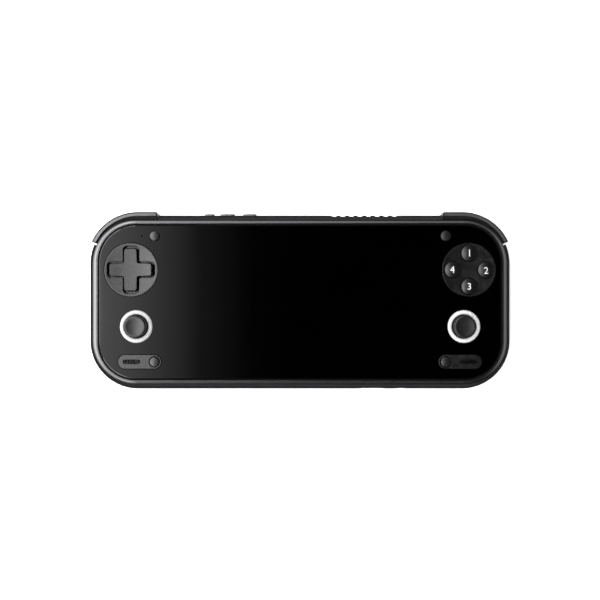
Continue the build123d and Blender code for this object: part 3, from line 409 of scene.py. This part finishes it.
def printed_numeral(figure, place):
    """Numeral printed on a face button, laid on its dome."""
    numeral_size, ink_lift, ink_thickness = 3.5 * MM, 0.015 * MM, 0.03 * MM
    button = "face_button_" + place
    low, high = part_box(button)
    middle = (low + high) / 2
    line = bpy.data.curves.new("numeral", "FONT")
    line.body = figure
    line.align_x = "CENTER"
    line.align_y = "CENTER"
    line.size = numeral_size
    line.resolution_u = 6
    text = bpy.data.objects.new("numeral", line)
    bpy.context.collection.objects.link(text)
    bpy.context.view_layer.update()
    flat = bpy.data.meshes.new_from_object(text)
    bpy.data.objects.remove(text)
    mesh = bmesh.new()
    mesh.from_mesh(flat)
    bpy.data.meshes.remove(flat)
    bmesh.ops.triangulate(mesh, faces=mesh.faces)
    bmesh.ops.subdivide_edges(mesh, edges=mesh.edges, cuts=2, use_grid_fill=True)
    centre = sum((v.co for v in mesh.verts), Vector()) / len(mesh.verts)
    surface = surface_under(button)
    above = high.z + 1 * MM
    for vertex in mesh.verts:
        x = middle.x + vertex.co.x - centre.x
        y = middle.y + vertex.co.y - centre.y
        hit = surface.ray_cast(Vector((x, y, above)), Vector((0, 0, -1)))[0]
        vertex.co = (x, y, hit.z + ink_lift)
    piece = finished(mesh, "numeral_" + place, print_white, button)
    thick = piece.modifiers.new("ink", "SOLIDIFY")
    thick.thickness = ink_thickness
    thick.offset = -1
    return piece


for figure, place in (("1", "top"), ("2", "right"), ("3", "bottom"), ("4", "left")):
    dress(button_plastic, "face_button_" + place)
    printed_numeral(figure, place)

# Thumb sticks: each cap is moulded in black rubber-like plastic over a steel lever, which turns
# in a small gimbal inside a pressed steel box under the glass.
stick_rubber = moulded("stick_rubber", (0.0035, 0.0035, 0.0036), (0.005, 0.005, 0.0052),
                       roughness=0.32, size=0.12 * MM, height=0.006 * MM, edge=0.15 * MM, specular=0.42)
for side in ("left", "right"):
    dress(stick_rubber, side + "_stick_cap")
    dress(steel, side + "_stick_lever", side + "_stick_housing")
    dress(fan_plastic, side + "_stick_yoke", side + "_stick_saddle")


# Light rings: milky white plastic, set in the glass with a flange behind it, that spreads the
# light of small lamps. A faint painted glow lifts their shaded side, and light sinks a little in.
def ring_finish():
    """Milky plastic, faintly clouded inside."""
    material, tree, shader, place = new_material("ring_white", 0.34)
    clouds = spread(tree, grain(tree, place, 2.5 * MM), 0, 1)
    tree.links.new(tint(tree, clouds, (0.7, 0.7, 0.7), (0.75, 0.75, 0.75)),
                   shader.inputs["Base Color"])
    # Painted glow: a faint emission that lifts the rings where they are shaded.
    shader.inputs["Emission Color"].default_value = (1, 1, 1, 1)
    shader.inputs["Emission Strength"].default_value = 0.15
    shader.inputs["Subsurface Weight"].default_value = 0.7
    shader.inputs["Subsurface Radius"].default_value = (1, 1, 1)
    shader.inputs["Subsurface Scale"].default_value = 1.2 * MM
    raise_surface(tree, shader, grain(tree, place, 0.4 * MM), 0.003 * MM, 0.08 * MM)
    return material


dress(ring_finish(), "left_light_ring", "right_light_ring")

# Shoulder buttons and triggers: dark satin mouldings that wrap the upper corners and turn on one
# steel pin at each side. Their top ridges are smoother and carry a painted highlight, and their
# walls and rounded edges carry painted shade.
def shoulder_finish():
    """Satin plastic with a smoother top ridge that carries a painted highlight, and painted shade on
    its dark walls and edges.
    """
    edge_width, crest_depth, crest_full = 0.6 * MM, 0.5 * MM, 0.2 * MM
    material, tree, shader, place = new_material("shoulder_plastic", 0.22)
    crest_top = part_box("left_shoulder_button")[1].z
    high = spread(tree, level_of(tree, place), 0.3, 1, crest_top - crest_depth,
                  crest_top - crest_full)
    up = rounded_up(tree, edge_width)
    painted_highlight_crest = calculate(tree, "MULTIPLY", high, spread(tree, up, 0, 1, 0.975, 0.995))
    clouds = spread(tree, grain(tree, place, 9 * MM), 0, 1)
    # Painted shade: the walls and rounded edges are coloured much darker than the top ridge, which is
    # coloured pale as a painted highlight.
    sides = tint(tree, clouds, (0.008, 0.008, 0.0083), (0.012, 0.012, 0.0124))
    tree.links.new(tint(tree, painted_highlight_crest, sides, (0.06, 0.06, 0.062)), shader.inputs["Base Color"])
    worn = spread(tree, grain(tree, place, 3 * MM, 5), -0.03, 0.05)
    smoother = spread(tree, painted_highlight_crest, 0.36, 0.22, 0, 1)
    tree.links.new(calculate(tree, "ADD", worn, smoother), shader.inputs["Roughness"])
    # The rounded edges also lose their reflection, which paints a dark outline of shade.
    shine = calculate(tree, "MAXIMUM", painted_highlight_crest, spread(tree, up, 0.7, 0, 0.25, 0.4))
    tree.links.new(spread(tree, shine, 1, 1.5, 0, 1), shader.inputs["IOR"])
    shader.inputs["Specular IOR Level"].default_value = 0.75
    raise_surface(tree, shader, grain(tree, place, 0.13 * MM), 0.004 * MM, 0.08 * MM)
    return material


shoulder_plastic = shoulder_finish()
for side in ("left", "right"):
    dress(shoulder_plastic, side + "_shoulder_button", side + "_trigger")
    dress(steel, side + "_shoulder_pin")

# Keys: the power and volume keys are milled from the frame's metal and anodised dark, a little
# paler than the frame. They slide in slots of the upper wall.
key_metal = metal("key_metal", (0.1, 0.1, 0.102), (0.135, 0.135, 0.138),
                  roughness=0.3, size=0.08 * MM, height=0.003 * MM)
dress(key_metal, "power_key", "volume_up_key", "volume_down_key")

# Ports: the charging socket is a drawn steel shell round a tongue with gilded contacts, and the
# headphone jack is a black moulding with a gilded spring ring in its mouth.
port_plastic = moulded("port_plastic", (0.008, 0.008, 0.008), (0.012, 0.012, 0.012),
                       roughness=0.45, size=0.1 * MM, height=0.004 * MM)
gilding = metal("gilding", (0.62, 0.42, 0.16), (0.78, 0.56, 0.25),
                roughness=0.25, size=0.08 * MM, height=0.002 * MM, edge=None)
dress(steel, "usb_port")
dress(port_plastic, "headphone_jack")


def box_into(mesh, low, high):
    """Closed block between two corners."""
    corners = [mesh.verts.new((x, y, z)) for x in (low.x, high.x) for y in (low.y, high.y)
               for z in (low.z, high.z)]
    for face in ((0, 1, 3, 2), (4, 6, 7, 5), (0, 4, 5, 1), (2, 3, 7, 6), (0, 2, 6, 4),
                 (1, 5, 7, 3)):
        mesh.faces.new([corners[index] for index in face])


def port_contacts():
    """Rows of gilded contacts on both faces of the socket's tongue."""
    half_tongue, setback, proud = 0.35 * MM, 1.5 * MM, 0.02 * MM
    count, pitch = 8, 0.72 * MM
    half_width, half_thick, length = 0.18 * MM, 0.04 * MM, 3.6 * MM
    low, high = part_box("usb_port")
    middle = (low + high) / 2
    front = low.y + setback
    mesh = bmesh.new()
    for index in range(count):
        x = middle.x + (index - (count - 1) / 2) * pitch
        for side in (-1, 1):
            level = middle.z + side * (half_tongue + proud)
            box_into(mesh, Vector((x - half_width, front, level - half_thick)),
                     Vector((x + half_width, front + length, level + half_thick)))
    return finished(mesh, "port_contacts", gilding, "console")


def jack_ring():
    """Gilded spring ring just inside the headphone jack."""
    radius, thick, length, bevel, setback = 1.79 * MM, 0.12 * MM, 0.8 * MM, 0.2 * MM, 0.6 * MM
    steps = 48
    low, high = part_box("headphone_jack")
    middle = (low + high) / 2
    mesh = bmesh.new()
    profile = [(radius, 0), (radius, length), (radius - thick, length - bevel),
               (radius - thick, bevel)]
    rings = []
    for step in range(steps):
        turn = step * math.tau / steps
        rings.append([mesh.verts.new((middle.x + r * math.cos(turn), low.y + setback + depth,
                                      middle.z + r * math.sin(turn))) for r, depth in profile])
    for one, two in zip(rings, rings[1:] + rings[:1]):
        for index in range(len(profile)):
            after = (index + 1) % len(profile)
            mesh.faces.new((one[index], two[index], two[after], one[after]))
    return finished(mesh, "jack_ring", gilding, "console")


port_contacts()
jack_ring()

# Rear screws: black coated steel, sunk in the rear cover, which they hold to the mid frame. The
# coating has a fine grain and a low shine.
screw_black = metal("screw_black", (0.02, 0.02, 0.021), (0.05, 0.05, 0.052),
                    roughness=0.36, size=0.08 * MM, height=0.003 * MM)
dress(screw_black, "rear_screws")

# Studio: a plain white floor under soft light from all sides, with a large bright panel at the
# left and a weaker one at the right. Straight above it stays dark, so the glass stays black.
floor_size, floor_gap, floor_glow, panel_strength = 3.0, 0.05 * MM, 0.72, 13.0
floor_mesh = bmesh.new()
bmesh.ops.create_grid(floor_mesh, x_segments=8, y_segments=8, size=floor_size / 2)
floor_data = bpy.data.meshes.new("floor")
floor_mesh.to_mesh(floor_data)
floor_mesh.free()
floor = bpy.data.objects.new("floor", floor_data)
floor.location.z = -floor_gap
bpy.context.collection.objects.link(floor)


def ray_kinds(tree):
    """Whether a ray comes from the camera, and whether a mirror or glass sent it on."""
    light_path = tree.nodes.new("ShaderNodeLightPath")
    mirrored = calculate(tree, "ADD", light_path.outputs["Is Glossy Ray"],
                         light_path.outputs["Is Transmission Ray"])
    return light_path.outputs["Is Camera Ray"], mirrored


paper, tree, shader, place = new_material("paper", 0.9)
clouds = spread(tree, grain(tree, place, 300 * MM), 0, 1)
tree.links.new(tint(tree, clouds, (0.93, 0.93, 0.93), (0.95, 0.95, 0.95)),
               shader.inputs["Base Color"])
shader.inputs["Specular IOR Level"].default_value = 0
shader.inputs["Emission Color"].default_value = (1, 1, 1, 1)
direct, mirrored = ray_kinds(tree)
glow = calculate(tree, "MULTIPLY", calculate(tree, "ADD", direct, mirrored), floor_glow)
tree.links.new(glow, shader.inputs["Emission Strength"])
floor_data.materials.append(paper)

world = bpy.data.worlds.new("studio")
bpy.context.scene.world = world
world.use_nodes = True
tree = world.node_tree
backdrop = tree.nodes["Background"]
way = tree.nodes.new("ShaderNodeTexCoord")
parts = tree.nodes.new("ShaderNodeSeparateXYZ")
tree.links.new(way.outputs["Generated"], parts.inputs["Vector"])
leftward = calculate(tree, "MULTIPLY", parts.outputs["X"], -1)
either_way = calculate(tree, "ABSOLUTE", parts.outputs["Y"])
half_leftward = calculate(tree, "MULTIPLY_ADD", leftward, 1.5, 0.5)
half_upward = calculate(tree, "MULTIPLY_ADD", parts.outputs["Y"], 0.5, 0.5)
panel = steps_of(tree, leftward, ((0, 0), (0.043, 0.0013), (0.0865, 0.0132), (0.129, 0.066),
                                  (0.17, 0.129), (0.195, 0.46), (0.215, 1), (0.3, 1),
                                  (0.36, 0.54), (0.5, 0.38), (0.6, 0.18), (0.72, 0.11),
                                  (0.85, 0.16), (1, 0.12)))
height_window = steps_of(tree, either_way, ((0, 1), (0.3, 0.9), (0.6, 0.25), (1, 0.06)))
panel = calculate(tree, "MULTIPLY", calculate(tree, "MULTIPLY", panel, panel_strength),
                  height_window)
around = steps_of(tree, parts.outputs["Z"], ((0, 0.9), (0.45, 0.8), (0.75, 0.35), (0.9, 0.03),
                                             (0.97, 0)))
one_side = steps_of(tree, half_leftward, ((0, 0.2), (0.3, 0.31), (0.5, 0.56), (0.66, 1), (1, 1)))
upward = steps_of(tree, half_upward, ((0, 0.02), (0.12, 0.06), (0.3, 0.25), (0.6, 0.6),
                                      (0.95, 1)))
around = calculate(tree, "MULTIPLY", around, calculate(tree, "MULTIPLY", one_side, upward))
far_side = steps_of(tree, parts.outputs["X"], ((0, 0), (0.5, 0), (0.65, 0.36), (0.85, 0.4),
                                               (1, 0.27)))
far_side = calculate(tree, "MULTIPLY", far_side, height_window)
studio = calculate(tree, "ADD", calculate(tree, "ADD", panel, around), far_side)
direct, mirrored = ray_kinds(tree)
near_horizon = steps_of(tree, parts.outputs["Z"], ((0, 1), (0.12, 1), (0.25, 0), (1, 0)))
seen = calculate(tree, "ADD", direct, calculate(tree, "MULTIPLY", mirrored, near_horizon))
mix = tree.nodes.new("ShaderNodeMix")
mix.data_type = "FLOAT"
tree.links.new(seen, mix.inputs["Factor"])
tree.links.new(studio, mix.inputs["A"])
mix.inputs["B"].default_value = 1
tree.links.new(mix.outputs["Result"], backdrop.inputs["Strength"])
backdrop.inputs["Color"].default_value = (1, 1, 1, 1)

# Camera: straight above the screen, at the photograph's distance and framing. It aims a little
# above the middle, because the console sits that much low in the photograph.
view_width, camera_distance, middle_level, aim_y = 223.7 * MM, 430 * MM, 7.6 * MM, 0.76 * MM
camera_data = bpy.data.cameras.new("camera")
camera_data.lens = camera_data.sensor_width * camera_distance / view_width
camera_data.clip_start = 0.01
camera = bpy.data.objects.new("camera", camera_data)
camera.location = (0, aim_y, middle_level + camera_distance)
bpy.context.collection.objects.link(camera)
bpy.context.scene.camera = camera
bpy.context.scene.view_settings.view_transform = "Standard"
